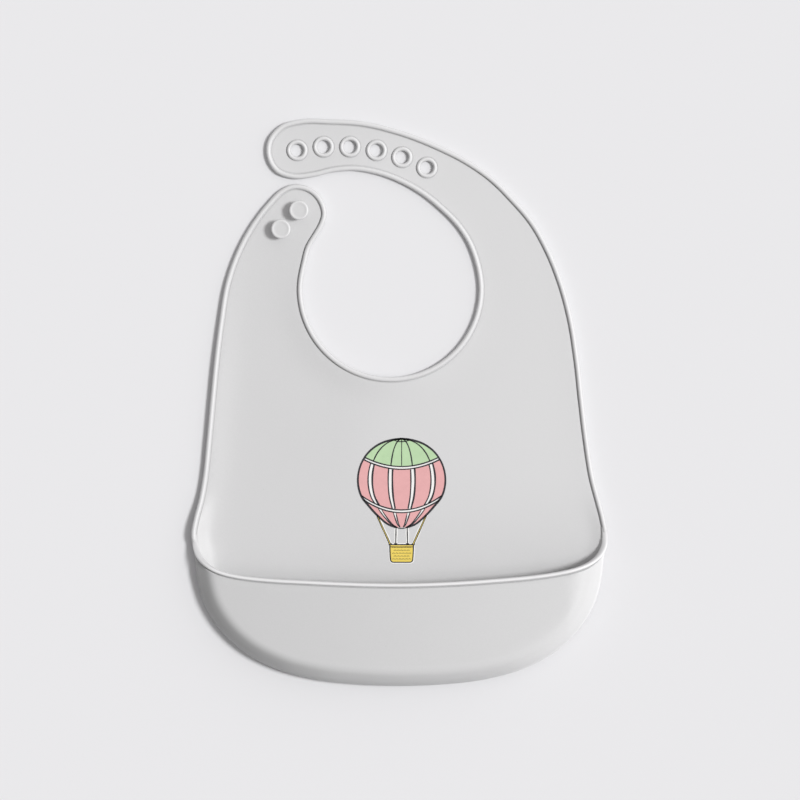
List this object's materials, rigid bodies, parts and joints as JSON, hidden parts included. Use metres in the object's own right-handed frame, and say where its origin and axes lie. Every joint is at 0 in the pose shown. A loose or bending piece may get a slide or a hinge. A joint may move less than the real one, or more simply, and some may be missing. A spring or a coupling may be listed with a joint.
{
  "type": "silicone bib",
  "caption": "Flexible waterproof baby bib: flat chest panel with a raised edge bead, scooped crumb-catching pocket, and a neck strap closed by studs in collared holes.",
  "frame": {"origin": "centre of the outline's width and length, on the flat back face", "axes": "+Y from the pocket towards the neck straps, +Z out of the printed front, +X towards the side that carries the long strap"},
  "size_m": [0.2246, 0.306, 0.0194],
  "materials": {
    "silicone": "matte pale grey food-grade silicone, fine moulded grain",
    "ink_dark": "matte printed ink",
    "ink_pink": "matte printed ink",
    "ink_cream": "matte printed ink",
    "ink_green": "matte printed ink",
    "ink_yellow": "matte printed ink"
  },
  "bodies": {
    "chest": {"front_panel": "silicone", "chest_fold_web": "silicone", "pocket_wall": "silicone", "pocket_lip": "silicone", "print_outline": "ink_dark", "print_pink": "ink_pink", "print_cream": "ink_cream", "print_green": "ink_green", "print_basket": "ink_yellow"},
    "pocket_face": {"pocket_front": "silicone"},
    "yoke": {"neck_yoke": "silicone", "long_strap_root_web": "silicone", "short_strap_root_web": "silicone"},
    "long_shoulder": {"long_strap_shoulder": "silicone", "long_strap_side_web": "silicone"},
    "long_side": {"long_strap_side": "silicone", "long_strap_band_web": "silicone"},
    "long_band": {"long_strap_band": "silicone", "band_eyelets": "silicone", "long_strap_tip_web": "silicone"},
    "long_tip": {"long_strap_tip": "silicone", "tip_eyelets": "silicone"},
    "short_shoulder": {"short_strap_shoulder": "silicone", "short_strap_tip_web": "silicone"},
    "short_tip": {"short_strap_tip": "silicone", "upper_stud": "silicone", "lower_stud": "silicone"}
  },
  "joints": [
    {"name": "chest_fold", "type": "hinge", "parent": "chest", "child": "yoke", "pos_m": [0, -0.002, 0.0015], "axis": [1, 0, 0], "range_deg": [-75, 135], "deforming": ["chest_fold_web"]},
    {"name": "long_strap_wrap", "type": "hinge", "parent": "yoke", "child": "long_shoulder", "pos_m": [0.0655, 0.062, 0.0015], "axis": [0.9994, 0.0349, 0], "range_deg": [-40, 15], "deforming": ["long_strap_root_web"]},
    {"name": "long_strap_side_bend", "type": "hinge", "parent": "long_shoulder", "child": "long_side", "pos_m": [0.0465, 0.1005, 0.0015], "axis": [0.8387, 0.5446, 0], "range_deg": [-37, 14], "deforming": ["long_strap_side_web"]},
    {"name": "long_strap_band_bend", "type": "hinge", "parent": "long_side", "child": "long_band", "pos_m": [0.027, 0.12, 0.0015], "axis": [0.5736, 0.8192, 0], "range_deg": [-33, 13], "deforming": ["long_strap_band_web"]},
    {"name": "long_strap_tip_bend", "type": "hinge", "parent": "long_band", "child": "long_tip", "pos_m": [-0.01955, 0.13675, 0.0015], "axis": [0.1219, 0.9925, 0], "range_deg": [-21, 8], "deforming": ["long_strap_tip_web"]},
    {"name": "short_strap_wrap", "type": "hinge", "parent": "yoke", "child": "short_shoulder", "pos_m": [-0.073, 0.06, 0.0015], "axis": [0.9994, -0.0349, 0], "range_deg": [-50, 20], "deforming": ["short_strap_root_web"]},
    {"name": "short_strap_tip_bend", "type": "hinge", "parent": "short_shoulder", "child": "short_tip", "pos_m": [-0.068, 0.0825, 0.0015], "axis": [0.9063, -0.4226, 0], "range_deg": [-41, 17], "deforming": ["short_strap_tip_web"]},
    {"name": "pocket_press", "type": "slide", "parent": "chest", "child": "pocket_face", "axis": [0, 0, -1], "range_m": [0, 0.011], "deforming": ["pocket_wall", "pocket_lip"]}
  ],
  "couplings": [
    {"joint": "long_strap_side_bend", "follows": "long_strap_wrap", "ratio": 0.9},
    {"joint": "long_strap_band_bend", "follows": "long_strap_wrap", "ratio": 0.8},
    {"joint": "long_strap_tip_bend", "follows": "long_strap_wrap", "ratio": 0.5},
    {"joint": "short_strap_tip_bend", "follows": "short_strap_wrap", "ratio": 0.8}
  ]
}
